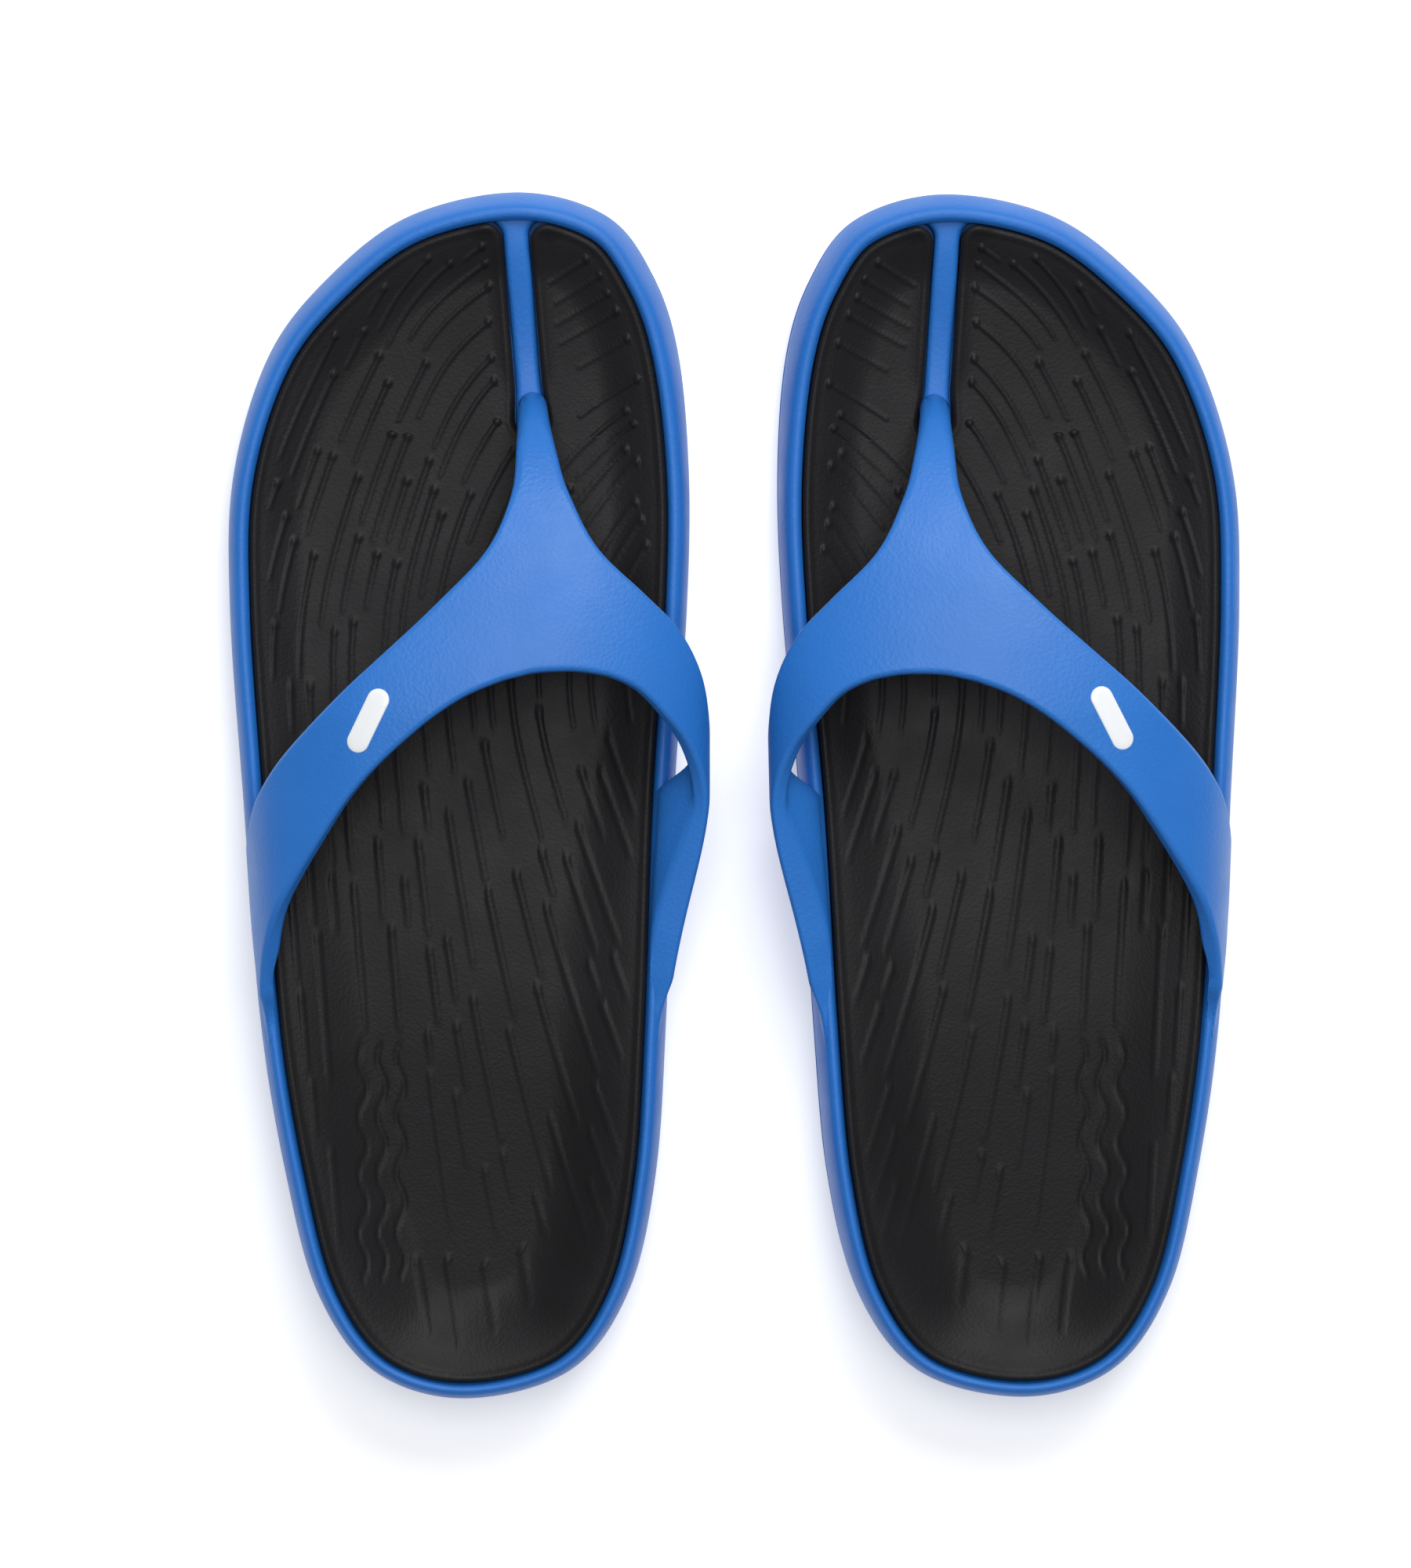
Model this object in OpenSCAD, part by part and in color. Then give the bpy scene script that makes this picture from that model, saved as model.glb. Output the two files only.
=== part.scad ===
// A pair of moulded pool flip-flops that lie side by side on the floor, toes towards +Y.
// Each sandal is a tread outsole, a cupped foam shell with a toe bar, a contoured footbed
// insert, a Y-shaped strap whose toe post locks under the shell, and a badge on the strap.
// The soles are cut along the ball of the foot, where the toe flex hinge lies.

/* [Sole] */
// Length from heel to toe
sole_length = 286; // [270:1:300]
// Greatest width, across the ball of the foot
sole_width = 109; // [104:1:114]
// Height of the rim at the heel
heel_height = 27; // [25:0.5:29]
// Thickness of the tread outsole
outsole_t = 4; // [3.5:0.5:4.5]
// Width of the rim round the footbed
rim_w = 5.2; // [4.8:0.1:5.6]
// How far the toe tip is lifted off the floor
toe_spring = 8; // [6:0.5:9]

/* [Strap] */
// Height of the strap's crown above the floor
crown_height = 53; // [48:1:58]
// Thickness of the strap
strap_t = 4; // [3.5:0.1:4.5]
// Radius of the toe post's plug
post_r = 3.4; // [3:0.1:3.6]
// Radius of the flange that locks the toe post under the shell
flange_r = 7; // [6:0.5:8]

/* [Badge] */
// Length of the badge
badge_l = 16; // [10:1:18]
// Width of the badge
badge_w = 5.4; // [4:0.2:7]

/* [Pair] */
// Distance between the two sandals' centre lines
pair_pitch = 132; // [126:1:160]
// Turn of the right sandal, which lies a little out of line with the left one
pair_turn = 1.4; // [0:0.2:3]
// Slant of the flex line across the ball of the foot
flex_slant = 15; // [10:1:18]

/* [Hidden] */
PARTS = ["outsole_heel", "outsole_toe", "shell_heel", "shell_toe",
         "footbed_heel", "footbed_toe", "strap", "badge"];

BLUE = [0.12, 0.36, 0.75];
BLACK = [0.10, 0.10, 0.11];
WHITE = [0.93, 0.94, 0.95];

sx = sole_width / 109;        // stretch across the sole
sy = sole_length / 286;       // stretch along the sole
half_l = sole_length / 2;
fit_gap = 0.3;                // room between pieces that slide past or seat in each other
glue_gap = 0.1;               // glue line under the footbed
flex_y = 47 * sy;             // where the flex line crosses the centre line
flex_z = 20.5;                // the flex hinge, just above the rim
post_at = [16.7 * sx, 92.2 * sy];
spring_y = 75 * sy;           // the sole leaves the floor in front of this
cut_size = 400;               // larger than the pair

// Left sandal's outline, heel tip first, then the outer side to the toe tip, then the inner side.
side_y = [-136.5, -118, -90, -53, 0, 45, 77, 105, 123.5, 137.5];
outer_x = [-20.5, -34, -41.5, -47.5, -51.5, -54.5, -53.5, -45, -30.5, -11.5];
inner_x = [26, 40, 46.5, 49, 51.5, 54, 54.5, 52, 46, 35];
last_side = len(side_y) - 1;
outline_points = concat(
    [[1 * sx, -half_l]],
    [for (i = [0:last_side]) [outer_x[i] * sx, side_y[i] * sy]],
    [[14 * sx, half_l]],
    [for (i = [last_side:-1:0]) [inner_x[i] * sx, side_y[i] * sy]]);
per_span = 3;                 // outline points made in each span

// Heights along the sole, as [y, z].
rim_line = [[-180, heel_height], [-143, heel_height], [-100, heel_height - 0.5],
            [-50, heel_height - 2.5], [0, 21], [50, 18.5], [95, 18.5],
            [143, 16 + toe_spring], [180, 20 + toe_spring]];
bed_line = [[-180, 20], [-143, 19], [-100, 18.5], [-50, 19.5], [0, 17], [50, 14.5], [95, 14.6],
            [143, 12 + toe_spring], [180, 16 + toe_spring]];
recess_depth = 9;             // from the rim down to the floor of the shell

function mix(a, b, t) = a + (b - a) * t;
function clamp01(v) = min(1, max(0, v));
function spline(p0, p1, p2, p3, t) =
    p1 + 0.5 * t * ((p2 - p0) + t * ((2 * p0 - 5 * p1 + 4 * p2 - p3) + t * (3 * (p1 - p2) + p3 - p0)));
function along(points, q) =
    let (last = len(points) - 1, i = min(last - 1, max(0, floor(q))))
    spline(points[max(0, i - 1)], points[i], points[i + 1], points[min(last, i + 2)], q - i);
function closed_curve(points, steps) =
    let (n = len(points))
    [for (i = [0:n - 1]) for (j = [0:steps - 1])
        spline(points[(i + n - 1) % n], points[i], points[(i + 1) % n], points[(i + 2) % n], j / steps)];
function height(line, y) = lookup(y / sy, line);
function ground(y) = toe_spring * pow(clamp01((y - spring_y) / (half_l - spring_y)), 2);
function rim_z(y) = height(rim_line, y);
function bed_z(y) = height(bed_line, y);
function floor_z(y) = rim_z(y) - recess_depth;
function lip_z(y) = rim_z(y) + 0.8 * clamp01((20 - y) / 80);

outline = closed_curve(outline_points, per_span);
N = len(outline);
// Outward normal of the outline at point i; the outline runs clockwise seen from above.
function normal(i) =
    let (t = outline[(i + 1) % N] - outline[(i + N - 1) % N])
    [-t[1], t[0]] / norm(t);
function shifted(i, d) = outline[i] + normal(i) * d;

// One ring round the sole, moved out by d, with its height mixed from a low to a high line.
function ring(d, low, high, share) =
    [for (i = [0:N - 1])
        let (p = shifted(i, d), zs = [ground(p[1]), ground(p[1]) + outsole_t, floor_z(p[1]),
                                      bed_z(p[1]), lip_z(p[1]), rim_z(p[1])])
        [p[0], p[1], mix(zs[low], zs[high], share)]];
GROUND = 0;
TREAD_TOP = 1;
FLOOR = 2;
BED = 3;
LIP = 4;
RIM = 5;

// A closed solid through a stack of rings, lowest first, capped by rungs from side to side.
module ring_stack(rings) {
    top = (len(rings) - 1) * N;
    sides = [for (r = [0:len(rings) - 2]) for (i = [0:N - 1])
        let (a = r * N + i, b = r * N + (i + 1) % N)
        each [[a, b, b + N], [a, b + N, a + N]]];
    rungs = [for (i = [0:N / 2 - 1]) let (j = (N - i) % N)
        each [if (i < N / 2 - 1) [i, i + 1, N - i - 1], if (i > 0) [i, N - i - 1, j]]];
    tips = [[N / 2 - 1, N / 2, N / 2 + 1]];
    caps = concat([for (t = rungs) if (t[1] != t[2] && t != tips[0]) t], tips);
    polyhedron(points = [for (r = rings) each r],
               faces = concat(sides, [for (t = caps) [top + t[0], top + t[1], top + t[2]]],
                              [for (t = caps) [t[2], t[1], t[0]]]));
}

// Keeps what lies behind the flex line (front = 0) or in front of it (front = 1).
module half(front) {
    intersection() {
        children();
        translate([0, flex_y, 0]) rotate([0, 0, flex_slant])
            translate([-cut_size / 2, front ? fit_gap / 2 : -fit_gap / 2 - cut_size, -cut_size / 2])
                cube([cut_size, cut_size, cut_size]);
    }
}

// Slanted slots in the underside, in two rows that leave a spine down the middle.
tread_pitch = 11;
slot_l = 24;
slot_w = 3;
slot_depth = 1.6;
module tread_slots(from_y, to_y) {
    for (y = [from_y:tread_pitch:to_y]) for (way = [-1, 1])
        translate([way * sole_width * 0.2 + 2, y, ground(y)])
            rotate([0, 0, way * 20]) cube([slot_l, slot_w, 2 * slot_depth], center = true);
}

module outsole_heel() {
    color(BLUE) half(0) difference() {
        linear_extrude(height = outsole_t) polygon(outline);
        tread_slots(-112 * sy, 20 * sy);
    }
}

module outsole_toe() {
    color(BLUE) half(1) difference() {
        ring_stack([ring(0, GROUND, TREAD_TOP, 0), ring(0, GROUND, TREAD_TOP, 1)]);
        tread_slots(66 * sy, 112 * sy);
    }
}

module cup() {
    ring_stack([ring(0, TREAD_TOP, RIM, 0), ring(-0.2, TREAD_TOP, RIM, 0.35), ring(-0.8, TREAD_TOP, RIM, 0.7),
                ring(-1.8, TREAD_TOP, RIM, 0.92), ring(-3.2, TREAD_TOP, RIM, 1),
                ring(-rim_w + 0.6, TREAD_TOP, RIM, 0.95), ring(-rim_w, FLOOR, RIM, 0)]);
}

// The strap's arms are let into the side walls.
module shell_heel() {
    color(BLUE) half(0) difference() {
        cup();
        strap_band();
    }
}

// Toe bar, from the post to the rim, as [y, half of its width, height of its top].
bar_half_w = 3.4;
bar_low = 12.3;
bar = [[post_at[1] - 6, 4.9, bar_low], [post_at[1] + 6, bar_half_w, bar_low],
       [127 * sy, bar_half_w, bed_z(127 * sy) - 0.4], [137 * sy, bar_half_w + 2.5, bed_z(137 * sy) - 0.4]];
bar_end_t = 0.1;
function bar_x(y) = (13.4 + 0.08 * (136 - y / sy)) * sx;
module bar_end(station) {
    y = station[0];
    translate([bar_x(y) - station[1], y, floor_z(y) - 2])
        cube([2 * station[1], bar_end_t, station[2] - floor_z(y) + 2]);
}
module toe_bar() {
    for (i = [0:len(bar) - 2]) hull() {
        bar_end(bar[i]);
        bar_end(bar[i + 1]);
    }
}

flange_low = 5.6;             // underside of the post's flange, above the outsole
flange_t = 2.4;
module shell_toe() {
    color(BLUE) half(1) difference() {
        union() {
            cup();
            toe_bar();
        }
        translate([post_at[0], post_at[1], -1]) cylinder(h = 40, r = post_r + fit_gap, $fn = 48);
        translate([post_at[0], post_at[1], -1])
            cylinder(h = flange_low + flange_t + fit_gap + 1, r = flange_r + fit_gap, $fn = 48);
    }
}

module footbed_blank() {
    edge = -rim_w - 0.2;
    ring_stack([ring(edge, FLOOR, LIP, glue_gap / recess_depth), ring(edge, FLOOR, LIP, 0.9),
                ring(edge - 0.7, FLOOR, LIP, 1),
                ring(edge - 2.6, LIP, BED, 0.15), ring(edge - 7, LIP, BED, 0.65),
                ring(edge - 14, LIP, BED, 1)]);
}

module footbed_heel() {
    color(BLACK) half(0) footbed_blank();
}

// The gap in the front of the footbed that the toe bar and the post's foot fill.
module toe_slot() {
    last = bar[len(bar) - 1];
    ends = concat([[bar[0][0] - fit_gap, bar[0][1]]], bar, [[last[0] + 10, last[1]]]);
    linear_extrude(height = 60) polygon(concat(
        [for (e = ends) [bar_x(e[0]) - e[1] - fit_gap, e[0]]],
        [for (i = [len(ends) - 1:-1:0]) [bar_x(ends[i][0]) + ends[i][1] + fit_gap, ends[i][0]]]));
}

module footbed_toe() {
    color(BLACK) half(1) difference() {
        footbed_blank();
        toe_slot();
    }
}

// Arch of the strap across the foot, as [x, z], from inside the outer wall to inside the inner wall.
arch_foot = 15;
arch = [[-50.5, 15], [-50.8, 26], [-44.5, 38.5], [-28.5, 48], [-8, 52.2], [14, 53],
        [34, 50.5], [50, 44], [58.8, 34], [56, 24], [50.5, 15]];
// Front and rear edges of the strap, as [place on the arch, y], in matching rows.
front_edge = [[0, -12], [0.9, -8], [1.75, 3], [2.4, 14], [3, 25], [3.6, 36], [4.2, 48], [4.7, 60],
              [4.95, 73], [5, 86], [4.97, 96], [5.14, 96], [5.3, 96], [5.42, 86], [5.6, 73],
              [5.95, 60], [6.6, 49], [7.2, 40.5], [7.75, 31], [8.25, 20], [8.85, 9], [9.45, 2], [10, -2]];
rear_edge = [[0, -58], [0.75, -51], [1.4, -40], [2.1, -25], [2.7, -11], [3.3, 5], [3.9, 17], [4.4, 25],
             [4.8, 29], [5.05, 30.5], [5.2, 31.2], [5.35, 31.5], [5.5, 31.6], [5.65, 31.6], [5.85, 31.2],
             [6.15, 30], [6.5, 27], [6.9, 21], [7.4, 13], [7.9, 2], [8.45, -16], [9.05, -37], [10, -56]];
slope_from = 20;              // the crown falls towards the toe post in front of this
slope_to = 96;
// Height of the strap's middle line at y, as a share of the crown's.
function crown_share(y) =
    let (fall = pow(clamp01((y - slope_from) / (slope_to - slope_from)), 1.5),
         z = 14 + (crown_height - 14) * sqrt(max(0, 1 - fall)))
    (z - arch_foot) / (crown_height - arch_foot);
// The strap narrows with the sole towards the heel.
function waist(y) = 1 - 0.065 * clamp01(-y / 58);
// A point on the strap's outer face.
function strap_at(q, y) =
    let (p = along(arch, q), lift = (crown_height - arch_foot) / (53 - arch_foot))
    [p[0] * sx * waist(y), y * sy, arch_foot + (p[1] - arch_foot) * lift * crown_share(y)];
function strap_normal(q, y) =
    let (dq = 0.05, dy = 0.5,
         a = strap_at(q + dq, y) - strap_at(q - dq, y),
         b = strap_at(q, min(y + dy, slope_to - 0.01)) - strap_at(q, min(y, slope_to - 0.01) - dy),
         n = cross(a, b))
    n / norm(n);
// The strap thickens into the toe post.
function strap_thickness(y) = strap_t + 3.4 * clamp01((y - 84) / 12);

strap_rows = 2 * (len(front_edge) - 1);
strap_columns = 10;
module strap_band() {
    cols = strap_columns + 1;
    count = (strap_rows + 1) * cols;
    places = [for (r = [0:strap_rows]) for (c = [0:strap_columns])
        let (a = along(front_edge, r / 2), b = along(rear_edge, r / 2),
             t = 1 - cos(90 * c / strap_columns))
        [mix(a[0], b[0], t), min(mix(a[1], b[1], t), slope_to)]];
    outer = [for (p = places) strap_at(p[0], p[1])];
    inner = [for (i = [0:count - 1])
        outer[i] - strap_normal(places[i][0], places[i][1]) * strap_thickness(places[i][1])];
    function quad(a, b, c, d) = [[a, b, c], [a, c, d]];
    faces = concat(
        [for (r = [0:strap_rows - 1]) for (c = [0:strap_columns - 1])
            let (i = r * cols + c)
            each concat(quad(i, i + cols, i + cols + 1, i + 1),
                        quad(count + i, count + i + 1, count + i + cols + 1, count + i + cols))],
        [for (r = [0:strap_rows - 1]) let (i = r * cols, k = i + strap_columns)
            each concat(quad(i, count + i, count + i + cols, i + cols),
                        quad(k, k + cols, count + k + cols, count + k))],
        [for (c = [0:strap_columns - 1]) let (k = strap_rows * cols + c)
            each concat(quad(c, c + 1, count + c + 1, count + c),
                        quad(k, count + k, count + k + 1, k + 1))]);
    polyhedron(points = concat(outer, inner), faces = faces);
}

module strap() {
    color(BLUE) difference() {
        union() {
            strap_band();
            translate([post_at[0], post_at[1], flange_low]) {
                cylinder(h = 16 - flange_low, r = post_r, $fn = 48);
                cylinder(h = flange_t, r = flange_r, $fn = 48);
            }
        }
        badge_block();
    }
}

// The badge lies along the outer arm, let into the strap.
badge_place = [3.42, 20];
badge_t = 1.4;
badge_sunk = 0.8;
module badge_block() {
    p = strap_at(badge_place[0], badge_place[1]);
    n = strap_normal(badge_place[0], badge_place[1]);
    side = cross([0.45, 0.89, 0], n);
    across = side / norm(side);
    length_way = cross(n, across);
    multmatrix([for (k = [0:2]) [length_way[k], across[k], n[k], p[k] - n[k] * badge_sunk]])
        linear_extrude(height = badge_t) union() {
            square([badge_l - badge_w, badge_w], center = true);
            for (way = [-1, 1])
                translate([way * (badge_l - badge_w) / 2, 0]) circle(d = badge_w, $fn = 48);
        }
}

module badge() {
    color(WHITE) badge_block();
}

module one_sandal_part(part) {
    if (part == "outsole_heel") outsole_heel();
    if (part == "outsole_toe") outsole_toe();
    if (part == "shell_heel") shell_heel();
    if (part == "shell_toe") shell_toe();
    if (part == "footbed_heel") footbed_heel();
    if (part == "footbed_toe") footbed_toe();
    if (part == "strap") strap();
    if (part == "badge") badge();
}

for (part = PARTS) {
    translate([-pair_pitch / 2, 0, 0]) one_sandal_part(part);
    translate([pair_pitch / 2, 0, 0]) rotate([0, 0, pair_turn]) mirror([1, 0, 0]) one_sandal_part(part);
}
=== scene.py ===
import math

import bpy
import bmesh
import numpy as np
from mathutils import Matrix, Vector


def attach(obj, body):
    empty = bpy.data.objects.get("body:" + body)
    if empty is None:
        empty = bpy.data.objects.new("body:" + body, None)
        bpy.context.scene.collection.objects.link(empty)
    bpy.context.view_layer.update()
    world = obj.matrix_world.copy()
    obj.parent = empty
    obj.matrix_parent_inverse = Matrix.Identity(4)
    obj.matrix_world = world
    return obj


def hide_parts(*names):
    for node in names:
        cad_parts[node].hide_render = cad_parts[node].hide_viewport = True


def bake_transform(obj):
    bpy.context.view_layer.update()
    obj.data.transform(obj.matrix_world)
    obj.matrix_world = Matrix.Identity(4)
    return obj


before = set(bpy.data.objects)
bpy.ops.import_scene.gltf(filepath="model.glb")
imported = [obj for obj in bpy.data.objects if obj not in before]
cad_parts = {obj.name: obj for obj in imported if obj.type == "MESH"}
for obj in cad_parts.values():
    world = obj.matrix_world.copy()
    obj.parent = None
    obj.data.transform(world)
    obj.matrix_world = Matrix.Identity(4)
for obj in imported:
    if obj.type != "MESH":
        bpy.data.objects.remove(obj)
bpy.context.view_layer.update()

# A sandal is drawn once in millimetres: x towards the inner side of the foot, y towards the toes,
# z up. place() then puts it left or right, mirrored, on its own centre in metres.
MM = 0.001
SIDES = {"left": 1, "right": -1}
CENTRE_X = {"left": -0.066, "right": 0.066}
TURN = {"left": 0.0, "right": math.radians(1.4)}

# ---------------------------------------------------------------- curves and height lines


def smoothstep(t):
    t = np.clip(t, 0, 1)
    return t * t * (3 - 2 * t)


def spline(points, q, closed=False):
    """Catmull-Rom curve through points at the places q, counted in points."""
    points = np.asarray(points, float)
    q = np.asarray(q, float)
    n = len(points)
    i = np.floor(q).astype(int)
    if not closed:
        i = np.clip(i, 0, n - 2)
    t = (q - i).reshape(-1, *[1] * (points.ndim - 1))

    def at(k):
        return points[(i + k) % n] if closed else points[np.clip(i + k, 0, n - 1)]

    a, b, c, d = at(-1), at(0), at(1), at(2)
    return b + 0.5 * t * ((c - a) + t * ((2 * a - 5 * b + 4 * c - d) + t * (3 * (b - c) + d - a)))


def height_line(knots):
    """A smooth height over y through (y, z) knots."""
    ys, zs = np.array(knots, float).T
    slopes = np.gradient(zs, ys)

    def at(y):
        y = np.clip(np.asarray(y, float), ys[0], ys[-1])
        i = np.clip(np.searchsorted(ys, y) - 1, 0, len(ys) - 2)
        h = ys[i + 1] - ys[i]
        t = (y - ys[i]) / h
        return (
            zs[i] * (1 + 2 * t) * (1 - t) ** 2
            + zs[i + 1] * t * t * (3 - 2 * t)
            + h * slopes[i] * t * (1 - t) ** 2
            - h * slopes[i + 1] * t * t * (1 - t)
        )

    return at


HALF_L = 143
TOE_SPRING = 8
OUTSOLE_T = 4
RIM_W = 5.2
rim_z = height_line([(-180, 27), (-143, 27), (-100, 26.5), (-50, 24.5), (0, 21), (50, 18.5),
                     (95, 18.8), (143, 24), (180, 29)])
bed_z = height_line([(-180, 20), (-143, 19), (-100, 18.5), (-50, 19.5), (0, 17), (50, 14.5),
                     (95, 14.6), (143, 20), (180, 25)])


def ground(y):
    return TOE_SPRING * np.clip((y - 75) / (HALF_L - 75), 0, 1) ** 2


def lip_z(y):
    return rim_z(y) + 0.8 * np.clip((20 - y) / 80, 0, 1) - 0.5 * smoothstep((y - 60) / 60)


# Outline of the sole: heel tip, up the outer side, toe tip, down the inner side.
SIDE_Y = [-136.5, -118, -90, -53, 0, 45, 77, 105, 123.5, 137.5]
OUTER_X = [-20.5, -34, -41.5, -47.5, -51.5, -54.5, -53.5, -45, -30.5, -11.5]
INNER_X = [26, 40, 46.5, 49, 51, 54, 54.5, 52, 46, 35]
CONTROL = (
    [(1, -HALF_L)] + list(zip(OUTER_X, SIDE_Y)) + [(14, HALF_L)] + list(zip(INNER_X, SIDE_Y))[::-1]
)
RING_POINTS = 640


def closed(curve):
    """A closed curve with its first point again at its end."""
    return np.vstack([curve, curve[:1]])


def even_steps(curve, count):
    """A closed curve with its points at even steps along its length."""
    loop = closed(curve)
    run = np.concatenate([[0], np.cumsum(np.linalg.norm(np.diff(loop, axis=0), axis=1))])
    at = np.linspace(0, run[-1], count, endpoint=False)
    return np.column_stack([np.interp(at, run, loop[:, k]) for k in range(loop.shape[1])])


OUTLINE = even_steps(spline(CONTROL, np.arange(0, len(CONTROL), 1 / 40), closed=True), RING_POINTS)
ALONG = np.roll(OUTLINE, -1, axis=0) - np.roll(OUTLINE, 1, axis=0)
# The outline's normals, which point outwards.
NORMAL = np.column_stack([-ALONG[:, 1], ALONG[:, 0]]) / np.linalg.norm(ALONG, axis=1)[:, None]


def toe_lean(y):
    """How far the side wall leans in towards its rim, which is most at the toes."""
    return 1.7 * smoothstep((y - 60) / 75)


def inset(distance):
    """The outline moved in, and further in at the toes, where the wall leans."""
    return OUTLINE - NORMAL * (distance + toe_lean(OUTLINE[:, 1]))[:, None]


# ---------------------------------------------------------------- mesh helpers


def place(points, side):
    """Millimetres of one sandal to metres in the frame."""
    x, y, z = (np.array(points, float) * MM).T
    x = SIDES[side] * x
    c, s = math.cos(TURN[side]), math.sin(TURN[side])
    return np.column_stack([CENTRE_X[side] + c * x - s * y, s * x + c * y, z])


SHARP_DEG = 50
UNITED_SHARP_DEG = 42


def make_piece(name, side, points, faces, material):
    """One closed mesh piece, with its normals out and its sharp edges kept."""
    mesh = bpy.data.meshes.new(name)
    mesh.from_pydata(place(points, side).tolist(), [], faces)
    bm = bmesh.new()
    bm.from_mesh(mesh)
    bmesh.ops.remove_doubles(bm, verts=bm.verts, dist=2e-6)
    bmesh.ops.dissolve_degenerate(bm, edges=bm.edges, dist=1e-6)
    bmesh.ops.recalc_face_normals(bm, faces=bm.faces)
    for face in bm.faces:
        face.smooth = True
    for edge in bm.edges:
        edge.smooth = len(edge.link_faces) == 2 and edge.calc_face_angle() < math.radians(SHARP_DEG)
    bm.to_mesh(mesh)
    bm.free()
    piece = bpy.data.objects.new(name, mesh)
    bpy.context.scene.collection.objects.link(piece)
    mesh.materials.append(material)
    return piece


def loop_faces(rows, count):
    """Quads between closed rings of count points each."""
    return [
        (r * count + i, r * count + (i + 1) % count,
         (r + 1) * count + (i + 1) % count, (r + 1) * count + i)
        for r in range(rows - 1)
        for i in range(count)
    ]


def end_caps(rows, count):
    """One face over the first ring and one over the last."""
    return [tuple(range(count)), tuple(range((rows - 1) * count, rows * count))]


def ladder(first, count):
    """A cap over one ring that starts at its tip, of rungs from side to side."""
    half = count // 2
    rungs = [
        (first + i, first + i + 1, first + count - i - 1, first + count - i)
        for i in range(1, half - 1)
    ]
    tips = [(first, first + 1, first + count - 1), (first + half - 1, first + half, first + half + 1)]
    return rungs + tips


def sheet_faces(first, rows, columns):
    """Quads of an open grid of points."""
    return [
        (first + r * columns + c, first + r * columns + c + 1,
         first + (r + 1) * columns + c + 1, first + (r + 1) * columns + c)
        for r in range(rows - 1)
        for c in range(columns - 1)
    ]


def nearest_on(points, path):
    """Distance from each point to an open path, and the nearest place on it."""
    starts, run = path[:-1], path[1:] - path[:-1]
    length2 = np.maximum((run ** 2).sum(1), 1e-12)
    gaps, places = np.empty(len(points)), np.empty_like(points)
    step = 1500
    for k in range(0, len(points), step):
        p = points[k:k + step, None, :]
        t = np.clip(((p - starts) * run).sum(2) / length2, 0, 1)
        foot = starts + t[..., None] * run
        d = np.sqrt(((foot - p) ** 2).sum(2))
        best = d.argmin(1)
        gaps[k:k + step] = d[np.arange(len(best)), best]
        places[k:k + step] = foot[np.arange(len(best)), best]
    return gaps, places


def distance_to(points, path):
    return nearest_on(points, path)[0]


# ---------------------------------------------------------------- materials


def new_material(name):
    material = bpy.data.materials.new(name)
    material.use_nodes = True
    tree = material.node_tree
    return material, tree, tree.nodes["Principled BSDF"]


def node(tree, kind, **values):
    """A node with its sockets and properties set by name."""
    made = tree.nodes.new("ShaderNode" + kind)
    for key, value in values.items():
        name = key.replace("_", " ")
        if name in made.inputs:
            made.inputs[name].default_value = value
        else:
            setattr(made, key, value)
    return made


CLOUD_SCALE = 38.0
PATCH_SCALE = 90.0
FINE_GRAIN = 2.2
FINE_SHARE = 0.5


def foam_material(name, colour, variation, roughness, grain_m, grain_depth, specular):
    """Moulded foam or rubber: uneven colour, a pebbled skin and uneven gloss."""
    material, tree, shader = new_material(name)
    place_at = node(tree, "TexCoord").outputs["Object"]
    clouds = node(tree, "TexNoise", Scale=CLOUD_SCALE, Detail=5.0, Roughness=0.6)
    tree.links.new(place_at, clouds.inputs["Vector"])
    ramp = node(tree, "ValToRGB")
    for end, position, way in zip(ramp.color_ramp.elements, (0.3, 0.7), (-1, 1)):
        end.position = position
        end.color = (*[min(1, c * (1 + way * variation)) for c in colour], 1)
    tree.links.new(clouds.outputs["Fac"], ramp.inputs["Fac"])
    tree.links.new(ramp.outputs["Color"], shader.inputs["Base Color"])
    pebbles = node(tree, "TexVoronoi", Scale=1 / grain_m, feature="SMOOTH_F1", Smoothness=0.6)
    tree.links.new(place_at, pebbles.inputs["Vector"])
    fine = node(tree, "TexNoise", Scale=FINE_GRAIN / grain_m, Detail=3.0)
    tree.links.new(place_at, fine.inputs["Vector"])
    mixed = node(tree, "Math", operation="MULTIPLY_ADD")
    mixed.inputs[1].default_value = FINE_SHARE
    tree.links.new(fine.outputs["Fac"], mixed.inputs[0])
    tree.links.new(pebbles.outputs["Distance"], mixed.inputs[2])
    bump = node(tree, "Bump", Strength=1.0, Distance=grain_depth)
    tree.links.new(mixed.outputs["Value"], bump.inputs["Height"])
    tree.links.new(bump.outputs["Normal"], shader.inputs["Normal"])
    patches = node(tree, "TexNoise", Scale=PATCH_SCALE, Detail=4.0)
    tree.links.new(place_at, patches.inputs["Vector"])
    gloss = node(tree, "MapRange", From_Min=0.25, From_Max=0.75)
    gloss.inputs["To Min"].default_value = roughness - 0.05
    gloss.inputs["To Max"].default_value = roughness + 0.06
    tree.links.new(patches.outputs["Fac"], gloss.inputs["Value"])
    tree.links.new(gloss.outputs["Result"], shader.inputs["Roughness"])
    shader.inputs["Specular IOR Level"].default_value = specular
    return material


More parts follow.
